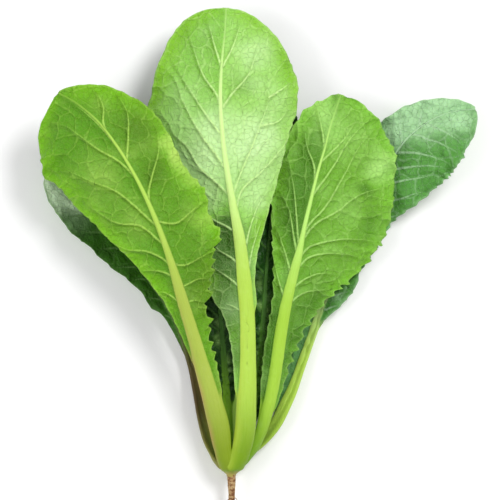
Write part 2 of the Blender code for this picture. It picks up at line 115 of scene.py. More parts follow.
LEAVES["leaf_front_centre"] = dict(
    spine=[3.3, 4.4, 18.4, 6, 12, 21.2, 7.6, 19.2, 23, 9.3, 43.2, 27, 9.9, 67.2, 31, 9.6, 91.2, 34,
        7.8, 115.2, 37, 5.1, 139.2, 39, 0.6, 163.2, 40.5, -2.4, 181.2, 41, -4.8, 199.2, 41.5,
        -6.3, 223.2, 41, -5.4, 247.2, 39, -3.6, 265.2, 36.5, -3, PLANT_LENGTH, 33.5],
    roll=[0, 26, 20, 12, 70, 6, 150, 2, 275, 0],
    left=[46.5, 7.5, 71, 10, 92.5, 15, 104.5, 21, 125.5, 20.5, 150, 24.6, 174, 33, 198.5, 42, 217, 44.7,
        224.5, 42, 231, 41, 238, 39.3, 246, 36, 256, 32.3, 268, 25, 274.4, 14, 276.6, 1.2],
    right=[98, 6.5, 113, 6.8, 125.5, 9.6, 133, 12.4, 143, 17.2, 153, 22.4, 174, 32, 182, 35.2, 192, 38.6,
        201.5, 42, 212, 46, 222, 46.6, 236, 46.3, 243, 43.5, 254, 38.2, 266, 26, 274.4, 12.6, 276.6, 1.2],
    stalk=[0, 9.6, 2.4, 7, 11.8, 3.2, 16, 12.6, 4, 41, 11.8, 4, 65, 10.2, 3.8, 89, 9.6, 3.6, 113, 9.4, 3.4,
        125, 8.4, 3.1, 138, 7.6, 2.8, 150, 6, 2.5, 162, 4.8, 2.2, 180, 3.8, 1.9, 199, 3, 1.6, 223, 2.4, 1.2,
        247, 1.4, 0.8, 262, 0.9, 0.6],
    sag=(9, 9), wave=(1.3, 37), crinkle=0.6, quilt=0.9, frill=(0.5, 19), grid=(370, 64), seed=12,
    teeth=((8, [46, 0.15, 110, 0.35, 150, 0.3, 200, 0.15, 275, 0.25]), (9, [98, 0.2, 150, 0.25, 200, 0.35,
        275, 0.3])),
    patches=[-20, 186, 18, 0.7, -8, 206, 16, 0.7, 14, 190, 18, 0.8, 22, 205, 12, 0.6, 15, 252, 10, 0.6,
        -12, 164, 12, 0.4, 15, 165, 10, 0.5, 8, 234, 8, -0.35, -20, 258, 14, -0.12, 34, 250, 10, -0.12,
        -4, 145, 8, -1.1, -7, 130, 9, -1.0, 3, 122, 6, -0.5, -7, 138, 13, -1.0, -5, 112, 13, -0.8,
        -3, 92, 13, -0.9, -1, 70, 12, -0.8],
    veins=[[-5, 222, -8, 225, -16, 237, -23, 256, -26, 266],
        [-3, 183, -6, 186, -17, 201, -29, 223, -35, 238, -43, 244],
        [0, 168, -6, 171, -19, 183, -29, 198, -33, 201, -40, 213, -49, 217],
        [3, 146, -2, 147, -10, 151, -23, 160, -31, 168], [6, 126, 1, 128, -7, 133, -14, 140],
        [8, 112, 2, 114, -8, 121, -15, 126], [9, 98, 2, 99, -4, 101],
        [-5, 221, 0, 226, 10, 238, 17, 254, 20, 258], [-5, 246, 1, 255, 6, 270],
        [-5, 247, -11, 260, -14, 272], [0, 168, 5, 177, 13, 196, 19, 212, 23, 225, 22, 232, 23, 240],
        [19, 208, 29, 211, 34, 217], [23, 225, 32, 231, 37, 235],
        [1, 157, 6, 168, 19, 181, 34, 199, 40, 208], [6, 126, 10, 141, 20, 166, 25, 172],
        [9, 109, 12, 130, 19, 154], [-5, 205, -16, 216, -25, 230, -35, 247]])
LEAVES["leaf_front_right"] = dict(
    spine=[6, 4.4, 13.6, 12.6, 11.4, 13.5, 17.4, 22.2, 14.5, 21.6, 37.2, 16.2, 25.5, 55.2, 18.5,
        29.2, 79.2, 21, 32.8, 99.2, 23.5, 37.1, 117.2, 25.5, 41.2, 133.2, 27, 44.4, 148.2, 28,
        48, 163.2, 28.5, 52.2, 180, 29, 56.4, 194.4, 29, 60, 208.2, 28, 64.2, 220.8, 26.5, 66, 226.8, 25.5],
    roll=[0, 82, 12, 66, 35, 38, 70, 16, 130, 6, 232, 3],
    left=[38, 5.4, 48, 7, 62, 8, 90, 8.2, 104, 8.8, 120, 12.5, 135, 17, 151, 21, 168, 24.5, 183.8, 26,
        200, 24.5, 208, 21.5, 216, 18.4, 224, 12, 230, 5.5, 232.5, 1.2],
    right=[40, 6.5, 56, 8.4, 67.5, 10, 80, 13.2, 92, 17, 101.5, 20.5, 110.5, 25, 120, 31, 128, 37, 136, 42.6,
        146, 46.5, 153, 49.2, 160, 50.4, 167, 50, 184, 48.6, 198.8, 45, 215, 38, 225, 26.5, 230.5, 14,
        232.5, 1.2],
    stalk=[0, 5, 2, 10, 8.6, 2.6, 22, 9.4, 3.2, 56, 9, 3.2, 80, 8.4, 3.1, 101, 7.6, 2.9, 120, 6.4, 2.6,
        128, 5.8, 2.4, 140, 3.8, 2, 166, 2.4, 1.5, 190, 1.6, 1.1, 215, 0.9, 0.6],
    sag=(6, 6), wave=(1.6, 29), crinkle=1.4, quilt=1.9, frill=(0.7, 14), grid=(340, 62), seed=13,
    teeth=((8, [80, 0.3, 120, 0.7, 180, 0.6, 215, 1.0, 231, 0.8]), (7.2, [40, 0.5, 57, 1.3, 85, 1.5, 95, 1.4,
        130, 1.4, 150, 1.0, 170, 0.5, 200, 0.8, 231, 0.8])),
    patches=[66, 204, 14, 0.5, 89, 182, 9, 0.8, 70, 158, 10, 0.3, 80, 169, 7, -0.8, 58, 220, 10, 0.6,
        84, 148, 8, -0.5, 34, 150, 12, -0.5, 44, 172, 10, -0.3, 18, 50, 11, -0.9, 20, 72, 11, -0.9,
        23, 96, 10, -0.8, 102, 182, 12, 0.5, 48, 98, 10, -0.7, 42, 82, 9, -0.8, 35, 64, 8, -0.7,
        54, 112, 10, -0.35],
    veins=[[52, 178, 50, 184, 46, 195, 44, 208], [41, 136, 40, 145, 38, 169, 34, 190],
        [40, 133, 38, 140, 34, 160, 29, 169], [37, 119, 34, 127, 27, 148], [33, 105, 29, 114, 26, 126],
        [42, 139, 46, 147, 56, 158, 68, 178, 80, 199, 89, 208],
        [43, 142, 50, 148, 65, 157, 77, 166, 98, 173], [40, 130, 46, 134, 62, 139, 91, 139],
        [38, 123, 46, 128, 65, 131, 83, 127], [36, 112, 42, 114, 53, 119, 65, 118],
        [34, 102, 40, 105, 56, 109, 61, 108], [55, 190, 68, 200, 76, 212], [58, 199, 54, 210, 52, 220],
        [50, 169, 62, 184, 71, 199, 85, 214]])
LEAVES["leaf_back_left"] = dict(
    spine=[-5.6, 4.4, 9.8, -9.6, 10, 8.6, -12.6, 16, 8.2, -15.4, 24, 8, -17.6, 33, 8, -20.1, 46.2, 7.5,
        -23.4, 61.2, 6.6, -27, 73.2, 5.6, -33, 88.2, 4.4, -41.4, 103.2, 3.2, -51.6, 117, 2.6,
        -63.6, 131.4, 2.6, -76.8, 146.4, 4, -89.4, 159.6, 7, -101.4, 170.4, 11, -111, 177.6, 15],
    roll=[0, -122, 30, -128, 60, -148, 110, -162, 208, -165],
    left=[74, 3.5, 82, 4.3, 93, 5.2, 100, 6.4, 105, 8.6, 117, 8.8, 129, 10.2, 141, 12.5, 150, 14.5,
        160, 15.2, 171, 16.8, 180, 16.2, 188, 14.6, 196, 12.9, 203, 10.3, 208, 5.5, 210, 1.2],
    right=[60, 6, 85, 9, 106, 14, 130, 19, 160, 23, 180, 22, 195, 18, 206, 10, 210, 1.2],
    stalk=[0, 9.4, 2.2, 6, 10, 2.5, 15, 10.4, 2.8, 27, 9, 2.7, 45, 7.2, 2.5, 62, 5.6, 2.3, 75, 5.3, 2.2,
        105, 4.8, 2, 135, 3.6, 1.7, 165, 2.2, 1.2, 190, 1.2, 0.8, 200, 0.9, 0.6],
    sag=(36, 18), wave=(1.5, 24), crinkle=1.2, quilt=1.2, frill=(0.8, 12), grid=(290, 46), seed=14,
    teeth=((11, [64, 0.15, 207, 0.3]), (7, [60, 0.8, 207, 0.8])),
    patches=[-107, 175, 17, 1.4, -95, 161, 8, 0.9],
    veins=(9, 66, 186))
LEAVES["leaf_back_right"] = dict(
    spine=[5.8, 4.4, 8.4, 10.6, 10, 6.6, 16, 15, 6.2, 21.4, 20.6, 6.6, 27, 28, 7.6, 31.6, 36.6, 7.4,
        37, 48, 7, 42.3, 62.3, 6.2, 49.2, 81.5, 5.2, 57.4, 104, 3.8, 67.6, 122.7, 2.8, 76.2, 142.2, 2.6,
        83.4, 160.2, 3.4, 91.2, 176.4, 5.2, 99, 190.2, 7.5, 107, 201, 10, 119, 210.6, 12.8,
        132.6, 216.6, 15.4, 145.5, 218.4, 17.5],
    roll=[0, 126, 30, 138, 70, 152, 130, 162, 268, 168],
    left=[42, 6, 58, 9, 80, 9.5, 105, 8, 133, 8, 160, 9, 176, 12, 190, 16, 204, 18.6, 218, 18.8, 230, 16.6,
        237, 14.6, 245, 12.2, 253, 9, 261, 6, 266.5, 3.2, 269, 1.2],
    right=[100, 4.2, 106, 7.3, 112, 10, 118, 11.8, 124, 13.2, 130, 13, 136, 11.6, 148, 13.3, 158, 15.3,
        170, 17.2, 178, 20, 184, 23.5, 190, 26.4, 198, 29.6, 206, 31.8, 218, 34.2, 228, 34, 238, 32.6,
        248, 30.6, 256, 27.6, 263, 21, 268.5, 10, 269.5, 1.2],
    stalk=[0, 5, 1.8, 12, 8, 2.4, 30, 9, 2.8, 48, 7.8, 2.7, 62, 6.2, 2.5, 80, 5.5, 2.4, 100, 5.2, 2.3,
        135, 4, 1.9, 165, 2.8, 1.5, 200, 1.8, 1, 235, 1, 0.6],
    sag=(12, 9), wave=(1.6, 27), crinkle=1.0, quilt=1.3, frill=(0.8, 13), grid=(300, 46), seed=15,
    teeth=((8, [42, 0.5, 96, 0.9, 160, 0.5, 268, 0.4]), (7, [94, 0.25, 130, 0.4, 160, 1.2, 200, 0.8,
        268, 0.4])),
    patches=[128, 224, 16, 0.9, 108, 216, 14, 0.9, 100, 205, 9, 0.7, 140, 214, 10, 0.7, 67, 104, 6, 0.35,
        75, 116, 5, -1.0],
    veins=(12, 98, 244))
LEAVES["leaf_back_centre"] = dict(
    spine=[0, 4.4, 5.4, 0, 10, 3.1, 0, 15, 2.7, 0, 22, 2.7, 1, 43, 2.8, 3, 70, 2.8, 6, 100, 2.7, 9, 135, 2.5,
        11, 170, 2.5, 12, 200, 4, 13, 222, 7, 13.5, 238, 11],
    roll=[0, 180, 234, 180],
    left=[60, 6.5, 80, 12, 100, 20, 125, 28, 150, 32, 180, 33, 205, 31, 221, 22, 231, 10, 233, 1.2],
    right=[66, 6.5, 84, 12, 100, 19, 125, 27, 150, 31, 180, 32, 205, 30, 221, 21, 231, 10, 233, 1.2],
    stalk=[0, 6, 2.1, 7, 10, 3.1, 14, 12, 3.4, 45, 10.5, 3.3, 70, 9, 3, 100, 7, 2.6, 135, 4.4, 2,
        170, 3, 1.5, 200, 1.8, 1, 222, 1, 0.6],
    sag=(13, 13), wave=(1.6, 26), crinkle=1.2, quilt=1.3, frill=(1.2, 12), grid=(290, 46), seed=16,
    teeth=((7, [60, 0.9, 233, 0.8]), (7, [66, 0.9, 233, 0.8])),
    patches=[], veins=(11, 62, 212))
LEAVES["heart_left"] = dict(
    spine=[-1.6, 4.4, 13.4, -1.8, 12, 13.6, -2, 25, 13.8, -2.4, 43, 14.4, -4, 65, 16.5, -6, 90, 19.5,
        -8, 115, 22.5, -9, 135, 24.5],
    roll=[0, 160, 131, 165],
    left=[44, 5, 58, 10, 74, 14, 92, 15, 110, 12, 123, 7, 129, 1.2],
    right=[40, 5, 56, 9, 74, 12, 92, 13, 110, 11, 123, 6, 129, 1.2],
    stalk=[0, 3.5, 1.2, 15, 6, 1.8, 40, 5.5, 1.8, 70, 4, 1.5, 100, 2.4, 1.1, 118, 1, 0.6],
    sag=(14, 14), wave=(1.6, 17), crinkle=3.6, quilt=1.8, frill=(3.0, 7), grid=(260, 46), seed=17,
    teeth=((5.5, [44, 0.9, 129, 1.3]), (5.5, [40, 0.9, 129, 1.3])),
    patches=[-5, 78, 3, 0.8, -2, 70, 2.5, 0.9, -6, 88, 3, 0.8, 0, 62, 2.2, 0.8, -8, 82, 2.2, 0.7,
        -10, 92, 2.5, 0.6, -1, 54, 2, 0.6],
    veins=(6, 46, 112))
LEAVES["heart_right"] = dict(
    spine=[2.2, 4.4, 11, 5, 12, 10.9, 9, 25, 11, 14, 43, 11.6, 18, 70, 13, 20, 100, 15, 22, 130, 17,
        24, 155, 18.5, 25, 172, 19],
    roll=[0, 190, 168, 190],
    left=[58, 5, 76, 8, 100, 11, 125, 12, 148, 9, 161, 5, 166, 1.2],
    right=[26, 4.5, 42, 7.5, 62, 8.5, 80, 9, 102, 9.5, 125, 9, 148, 7, 161, 4, 166, 1.2],
    stalk=[0, 3.5, 1.2, 12, 6, 1.8, 45, 5.5, 1.8, 80, 4, 1.5, 120, 2.4, 1, 150, 1, 0.6],
    sag=(12, 12), wave=(1.2, 19), crinkle=3.2, quilt=1.8, frill=(2.6, 7), grid=(300, 44), seed=18,
    teeth=((5.5, [58, 0.9, 166, 1.3]), (5, [26, 0.9, 60, 1.5, 166, 1.2])),
    patches=[18, 100, 3, 0.8, 22, 93, 3, 0.8, 17, 85, 2.5, 0.9, 21, 78, 3, 0.8, 17, 70, 2.5, 0.9,
        19, 63, 2.2, 0.7, 24, 106, 3, 0.7, 16, 112, 3, 0.6, 16, 56, 2, 0.6],
    veins=(7, 52, 144))


def smooth(knots, stations):
    """Read a smooth curve through the knots, whose first column is the station, at other stations."""
    table = np.array(knots, float)
    at, value = table[:, 0], table[:, 1:]
    slope = np.gradient(value, at, axis=0)
    where = np.clip(stations, at[0], at[-1])
    low = np.clip(np.searchsorted(at, where) - 1, 0, len(at) - 2)
    span = (at[low + 1] - at[low])[:, None]
    t = (where - at[low])[:, None] / span
    rise = t * t * (3 - 2 * t)
    return (value[low] * (1 - rise) + value[low + 1] * rise
            + span * t * (1 - t) * ((1 - t) * slope[low] - t * slope[low + 1]))


def lengths(rows):
    """The length of each row, taken as a vector."""
    return np.linalg.norm(rows, axis=1)


def headings(rows):
    """Each row as a vector of length 1."""
    return rows / lengths(rows)[:, None]


def run_length(points):
    """Distance along a line of points, from its first one."""
    return np.r_[0, np.cumsum(lengths(np.diff(points, axis=0)))]


def curve_through(points, samples=FINE):
    """Samples of a smooth curve through points, spaced by chord length."""
    points = np.array(points, float)
    chord = run_length(points)
    return smooth(np.column_stack([chord, points]), np.linspace(0, chord[-1], samples))


def unit(x):
    """Numbers held between 0 and 1."""
    return np.clip(x, 0, 1)


def ease(x):
    """A smooth step from 0 to 1 as x goes from 0 to 1."""
    x = unit(x)
    return x * x * (3 - 2 * x)


def bell(x, width):
    """A bell curve, 1 where x is 0."""
    return np.exp(-(x / width) ** 2)


def shifted(points):
    """Points in metres from the row's origin, from millimetres from the root collar."""
    return (np.asarray(points, float) + [0, COLLAR_Y, 0]) * MM


def value_noise(points, cell, seed):
    """Smooth noise from -1 to 1 over points of two or three columns, with features of about the cell."""
    rng = np.random.default_rng(seed)
    table = rng.uniform(-1, 1, 4096)
    scaled = np.asarray(points, float) / cell
    base = np.floor(scaled).astype(int)
    part = ease(scaled - base)
    total = np.zeros(len(scaled))
    primes = np.array([73856093, 19349663, 83492791])[:scaled.shape[1]]
    for corner in range(2 ** scaled.shape[1]):
        pick = np.array([(corner >> k) & 1 for k in range(scaled.shape[1])])
        key = ((base + pick) * primes).sum(axis=1) % 4096
        total += table[key] * np.prod(np.where(pick == 1, part, 1 - part), axis=1)
    return total


def segment_distance(points, route):
    """Distance of plan points from a route, how far along it the nearest place is, from 0 to 1, and how
    much they lie on the side of the route away from the light, from -1 to 1."""
    run = run_length(route)
    best = np.full(len(points), np.inf)
    share = np.zeros(len(points))
    shade = np.zeros(len(points))
    for k, (start, end) in enumerate(zip(route, route[1:])):
        step = end - start
        t = unit((points - start) @ step / (step @ step))
        gap = points - start - t[:, None] * step
        away = lengths(gap)
        closer = away < best
        best[closer] = away[closer]
        shade[closer] = -(gap @ LIT_FROM)[closer] / np.maximum(away[closer], 0.1)
        share[closer] = (run[k] + t[closer] * (run[k + 1] - run[k])) / run[-1]
    return best, share, shade


def cell_borders(points, cell, seed):
    """Distance of plan points from the nearest border between scattered, uneven cells."""
    rng = np.random.default_rng(seed)
    low = points.min(axis=0) - 2 * cell
    counts = np.ceil((points.max(axis=0) + 2 * cell - low) / cell).astype(int)
    offsets = rng.uniform(0.08, 0.92, (counts[0], counts[1], 2))
    index = np.floor((points - low) / cell).astype(int)
    near = []
    for dx in (-2, -1, 0, 1, 2):
        for dy in (-2, -1, 0, 1, 2):
            i = np.clip(index[:, 0] + dx, 0, counts[0] - 1)
            j = np.clip(index[:, 1] + dy, 0, counts[1] - 1)
            centre = low + (np.column_stack([i, j]) + offsets[i, j]) * cell
            near.append(lengths(points - centre))
    near = np.sort(np.array(near), axis=0)
    return (near[1] - near[0]) / 2


class Leaf:
    """One leaf: turns distances along and across its midrib into a fine closed mesh."""

    def __init__(self, name, leaf):
        self.name = name
        self.leaf = {key: np.array(value, float).reshape(-1, COLUMNS[key]) if key in COLUMNS else value
                     for key, value in leaf.items()}
        self.line = curve_through(self.leaf["spine"])
        self.along = run_length(self.line[:, :2])
        self.length = self.along[-1]
        self.slope = np.gradient(self.line, self.along, axis=0)
        heading = headings(self.slope[:, :2])
        turn = unit(self.along / TURN_LENGTH)[:, None]
        across = np.column_stack([heading[:, 1], -heading[:, 0]])
        self.across = headings((1 - turn) * np.array([1.0, 0.0]) + turn * across)
        self.roll = np.radians(smooth(self.leaf["roll"], self.along)[:, 0])
        self.facing = np.sign(math.cos(self.roll[-1]))

    def read(self, values, stations):
        """Interpolate one row of values per sample of the midrib at the stations."""
        if values.ndim == 1:
            return np.interp(stations, self.along, values)
        return np.stack([np.interp(stations, self.along, column) for column in values.T], axis=-1)

    def stalk_size(self, stations):
        """Half width and depth of the stalk or midrib."""
        shape = np.shape(stations)
        size = smooth(self.leaf["stalk"], np.ravel(stations))
        foot = ease(1 - np.reshape(stations, shape) / FOOT)
        half, depth = size[:, 0].reshape(shape) / 2, size[:, 1].reshape(shape)
        return half * (1 + 0.25 * foot), depth * (1 + 0.6 * foot)

    def teeth(self, run, stations, side):
        """How far the teeth of one margin stand out, by the run along it."""
        pitch, depths = self.leaf["teeth"][side == "right"]
        rng = np.random.default_rng(self.leaf["seed"] + (side == "right"))
        count = int(run[-1] / (0.65 * pitch)) + 4
        marks = np.cumsum(pitch * rng.uniform(0.65, 1.4, count)) - 1.5 * pitch
        size = rng.uniform(0.5, 1.25, count)
        which = np.clip(np.searchsorted(marks, run) - 1, 0, count - 2)
        phase = unit((run - marks[which]) / (marks[which + 1] - marks[which]))
        tooth = np.where(phase < TOOTH_PEAK, (phase / TOOTH_PEAK) ** 1.4,
                         ((1 - phase) / 0.3) ** 1.2)
        depth = np.interp(stations, depths[::2], depths[1::2])
        fade = np.minimum(1, np.minimum(run, run[-1] - run) / (2 * pitch))
        return depth * size[which] * fade * (2 * tooth - 1)

    def edge(self, side):
        """Distance along and across of one edge, up the stalk and then round the blade's margin."""
        blade = curve_through(self.leaf[side])
        blade[:, 1] += self.teeth(run_length(blade), blade[:, 0].copy(), side)
        start = blade[0, 0]
        low = np.linspace(SUNK, start, 200, endpoint=False)
        half, _ = self.stalk_size(low)
        first_half, _ = self.stalk_size(np.array([start]))
        wing = (blade[0, 1] - first_half[0]) * ease((low - start + RAMP) / RAMP) ** 2
        return np.vstack([np.column_stack([low, half + wing]), blade])

    def rows(self):
        """Stations of the rows on the midrib, and where each meets the left and the right edge."""
        sides = []
        for edge in (self.edge("left"), self.edge("right")):
            half, _ = self.stalk_size(edge[:, 0])
            swept = edge[:, 0] - SWEEP * np.maximum(edge[:, 1] - half, 0)
            sides.append((np.maximum.accumulate(swept + 1e-6 * np.arange(len(swept))), edge))
        fine = np.linspace(SUNK, min(inner[-1] for inner, _ in sides), 3000)

        def at(stations):
            return [np.column_stack([np.interp(stations, inner, column) for column in edge.T])
                    for inner, edge in sides]

        left, right = at(fine)
        work = run_length(left) + run_length(right) + (fine - fine[0])
        stations = np.interp(np.linspace(0, work[-1], self.leaf["grid"][0]), work, fine)
        return stations, *at(stations)

    def surface(self):
        """Distances along and across, wing widths, places and the outward way of the grid, whose rows run
        from the left margin to the right one."""
        stations, left, right = self.rows()
        half, _ = self.stalk_size(stations)
        share = np.linspace(0, 1, self.leaf["grid"][1] + 1)
        sides = []
        for ends, sign in ((left, -1), (right, 1)):
            wing = np.maximum(ends[:, 1] - half, 1e-6)[:, None]
            wide = ease(wing / WIDE_WING)
            spread = (1 - wide) * np.sin(share * math.pi / 2) + wide * share * (0.42 + 0.58 * share)
            offset = ends[:, 1][:, None] * spread
            out = unit((offset - half[:, None]) / wing)
            along = stations[:, None] + (ends[:, 0] - stations)[:, None] * out
            sides.append((along, sign * offset, wing + 0 * out))
        along, offset, wing = (np.concatenate([one[:, :0:-1], other], axis=1) for one, other in zip(*sides))
        offset = offset * self.toe(along)
        roll = self.read(self.roll, along)[..., None]
        beyond = np.maximum(along - self.length, 0) + np.minimum(along, 0)
        tip = np.where(along[..., None] > 0, self.slope[-1], self.slope[0])
        base = self.read(self.line, along) + tip * beyond[..., None]
        side = self.read(self.across, along)
        grown, _ = self.stalk_size(along)
        widen = ease((np.abs(offset) - grown) / 8)
        stretch = 1 + (1 / np.maximum(np.abs(np.cos(roll[..., 0])), 0.6) - 1) * widen
        right_way = np.concatenate([side * np.abs(np.cos(roll)), -self.facing * np.sin(roll)], axis=-1)
        places = base + right_way * (offset * stretch)[..., None]
        sag = np.where(offset < 0, *self.leaf["sag"]) * (offset / SAG_AT) ** 2
        height, length = self.leaf["wave"]
        phase = math.tau * along / length + WAVE_SHIFT * np.sign(offset)
        wave = height * (offset / WAVE_AT) ** 2 * np.sin(phase)
        places[..., 2] += -self.facing * sag + wave
        height, length = self.leaf["frill"]
        room = np.minimum(offset - offset[:, :1], offset[:, -1:] - offset)
        side_of = np.where(offset < 0, 40.0, 80.0)
        wander = value_noise(np.stack([along, side_of], -1).reshape(-1, 2), 13, self.leaf["seed"] + 20)
        phase = math.tau * (along / length + 0.7 * wander.reshape(along.shape))
        places[..., 2] += height * (1 - ease(room / 9)) * ease(wing / 8) * np.sin(phase)
        outward = np.concatenate([side * np.sin(roll), np.cos(roll)], axis=-1)
        return along, offset, wing, places, outward

    def toe(self, along):
        """How much of its section a stalk has, from nearly nothing at its rounded foot."""
        short = unit((SUNK + TOE - along) / TOE)
        return np.maximum(np.sqrt(1 - short ** 2), 0.08)

    def from_midrib(self, route):
        """A vein's route, led out of the midrib where it starts beside it."""
        route = np.array(route, float).reshape(-1, 2)
        away = lengths(self.line[:, :2] - route[0])
        nearest = np.argmin(away)
        if away[nearest] > JOIN_REACH:
            return route
        start = int(np.interp(self.along[nearest] - JOIN_RUN, self.along, np.arange(FINE)))
        return [self.line[start, :2], *route[int(away[nearest] < ON_MIDRIB):]]

    def vein_routes(self, along, offset, places):
        """Routes of the side veins in plan, given, or by a rule that follows the rows of the blade."""
        veins = self.leaf["veins"]
        if isinstance(veins, list):
            return [curve_through(self.from_midrib(route), 30) for route in veins]
        count, first, last = veins
        rng = np.random.default_rng(self.leaf["seed"] + 100)
        routes = []
        for sign, side in ((-1, "left"), (1, "right")):
            edge = self.edge(side)
            for k in range(count):
                start = first + (last - first) * (k + 0.5 * (sign > 0)) / count + rng.uniform(-2, 2)
                lean = rng.uniform(0.75, 1.05)
                reach = edge[:, 1] - (edge[:, 0] - start) / lean
                meet = np.argmin(np.abs(reach)) if (reach > 0).any() else 0
                width = edge[meet, 1] * 0.93
                line = []
                for t in np.linspace(0, 1, 7):
                    station = start + width * t * lean * (0.75 + 0.25 * t)
                    nearest = np.argmin((along - station) ** 2 + (offset - sign * width * t) ** 2)
                    line.append(places[..., :2].reshape(-1, 2)[nearest])
                if lengths(np.diff(line, axis=0)).min() > 0.05:
                    routes.append(curve_through(line, 20))
        return routes

    def build(self):
        """The leaf's mesh, with what its material reads kept as attributes."""
        along, offset, wing, places, outward = self.surface()
        shape = along.shape
        plan = places[..., :2].reshape(-1, 2)
        half, depth = self.stalk_size(along)
        far = np.abs(offset)
        x = far / half

        def noise(cell, more):
            return value_noise(plan, cell, self.leaf["seed"] + more).reshape(shape)

        def strayed(cell, reach, seed):
            return plan + reach * np.column_stack([value_noise(plan, cell, seed + k) for k in (0, 1)])

        # Side veins, painted shade on their flanks away from the light, and the net between them
        vein, ridge, painted_vein_shade, painted_light = np.zeros((4, len(plan)))
        near = np.full(len(plan), 1e3)
        for route in self.vein_routes(along, offset, places):
            away, share, shade = segment_distance(plan, route)
            size = unit(1 - 0.8 * share) * unit((1 - share) * 8)
            line = bell(away, 0.42 + 0.5 * size)
            vein = np.maximum(vein, unit(0.3 + 0.9 * size) * line)
            ridge = np.maximum(ridge, RIDGE * (0.25 + 0.75 * size) * line)
            near = np.minimum(near, away + 3 * (share > 0.98))
            # Painted shade: a band beside each vein, on its side away from the light
            flank_shade = bell(away - 1.3, 0.9) * unit(0.25 + 0.9 * shade)
            painted_vein_shade = np.maximum(painted_vein_shade, flank_shade * unit(0.35 + size))
        border = cell_borders(strayed(5, 1.3, 3), NET_CELL, self.leaf["seed"])
        net = bell(border, 0.55)
        bent = strayed(11, 4, 5)
        # Patches of painted light: above 0 a painted highlight, below 0 painted shade
        for x_at, y_at, radius, strength in self.leaf["patches"]:
            painted_light += strength * bell(lengths(bent - [x_at, y_at]), radius)
        vein, ridge, near, net, border, painted_light, painted_vein_shade = (
            values.reshape(shape) for values in (vein, ridge, near, net, border, painted_light, painted_vein_shade))
        blade = ease((far - half) / 4) * ease(wing / 6)
        margin_room = np.abs(np.where(offset < 0, offset - offset[:, :1], offset[:, -1:] - offset))
        margin = 1 - ease(margin_room / MARGIN_THIN)
        skin = unit((far - 0.88 * half) / 0.5 + 0.5) * ease(wing / 2.5)

        # Heights out of the leaf's back, of both faces
        bridge = ease((along - self.closed_from() + 22) / 30)
        shoulder = 0.05 + 0.22 * ease(wing / 5)
        dome = np.maximum(1 - x ** 2, 0) ** 0.55
        skirt = 1 / (1 + (far / (half + 0.9)) ** 6)
        back = depth * (1 + 0.12 * bridge) * ((1 - shoulder) * dome + shoulder * skirt)
        thin = 1 - 0.55 * margin * ease(wing / 3)
        thick = (EDGE_THICK + (BLADE_THICK - EDGE_THICK) * ease(wing / 3)) * thin
        hollow = CHANNEL * depth * (1 - bridge)
        face = -thick - hollow * np.maximum(1 - x ** 4, 0) ** 0.5 + 0.55 * hollow * bell(x, 0.5)
        face += bridge * 0.35 * bell(offset, 0.6 + 0.5 * half)
        drawn = SUNKEN * (1 - bell(near, 4.2)) + SUNKEN_NET * (1 - bell(border, 1.4))
        drawn *= self.leaf["quilt"] * (1 - 0.4 * margin)
        rough = noise(9, 7) + 0.5 * noise(4, 8) + 0.3 * noise(2.2, 10)
        crinkle = self.leaf["crinkle"] * (0.35 * rough + 0.8 * noise(6, 9) * margin)
        relief = blade * (crinkle - drawn)
        raised = blade * (ridge + RIDGE_NET * net)
        toe = self.toe(along)
        back = (back + relief + raised) * toe
        face = (face + relief + 0.45 * raised) * toe

        # Directions out of the leaf's back
        normal = np.cross(np.gradient(places, axis=1), np.gradient(places, axis=0))
        size = np.linalg.norm(normal, axis=-1, keepdims=True)
        normal = np.where(size > 1e-9, normal / np.maximum(size, 1e-9), outward)
        normal *= np.sign((normal * outward).sum(axis=-1, keepdims=True))
        verts = np.concatenate([(places + normal * height[..., None]).reshape(-1, 3)
                                for height in (back, face)])
        verts[:, 2] = np.maximum(verts[:, 2], 0)
        index = np.arange(offset.size).reshape(shape)
        other = index + offset.size
        quads = np.concatenate([np.stack(corners, -1).reshape(-1, 4) for corners in (
            (index[:-1, :-1], index[:-1, 1:], index[1:, 1:], index[1:, :-1]),
            (other[:-1, :-1], other[1:, :-1], other[1:, 1:], other[:-1, 1:]),
            (index[:-1, 0], index[1:, 0], other[1:, 0], other[:-1, 0]),
            (index[:-1, -1], other[:-1, -1], other[1:, -1], index[1:, -1]),
            (index[0, :-1], other[0, :-1], other[0, 1:], index[0, 1:]),
            (index[-1, :-1], index[-1, 1:], other[-1, 1:], other[-1, :-1]))])
        if self.facing < 0:
            quads = quads[:, ::-1]
        mesh = new_mesh(self.name, shifted(verts), quads)
        both = dict(
            vein=unit(vein * skin), net=unit(net * blade), skin=skin, painted_vein_shade=painted_vein_shade * blade,
            margin=(1 - ease(margin_room / 1.6)) * ease(wing / 3),
            rim=(1 - ease(margin_room / 15)) * ease(wing / 12),
            painted_light=np.clip(painted_light, -1, 1), up=along / self.length, across=offset / 45)
        for key, values in both.items():
            add_attribute(mesh, key, np.tile(values.ravel(), 2))
        add_attribute(mesh, "face", np.repeat([0.0, 1.0], offset.size))
        return mesh

    def closed_from(self):
        """Distance along at which the blade closes over the midrib."""
        stations = np.linspace(0, self.length, 400)
        half, _ = self.stalk_size(stations)
        return stations[np.argmax((half < CLOSED_HALF) & (stations > 30))]


def new_mesh(name, points, quads):
    """A smooth mesh from arrays of points in metres and four-sided faces."""
    mesh = bpy.data.meshes.new(name)
    mesh.vertices.add(len(points))
    mesh.vertices.foreach_set("co", np.ascontiguousarray(points, dtype=np.float32).ravel())
    mesh.loops.add(quads.size)
    mesh.loops.foreach_set("vertex_index", np.ascontiguousarray(quads, dtype=np.int32).ravel())
    mesh.polygons.add(len(quads))
    mesh.polygons.foreach_set("loop_start", np.arange(0, quads.size, 4, dtype=np.int32))
    mesh.polygons.foreach_set("use_smooth", np.ones(len(quads), dtype=bool))
    mesh.update(calc_edges=True)
    mesh.validate()
    return mesh


def add_attribute(mesh, name, values):
    """Store one number for each point of the mesh."""
    made = mesh.attributes.new(name, "FLOAT", "POINT")
    made.data.foreach_set("value", np.ascontiguousarray(values, dtype=np.float32))


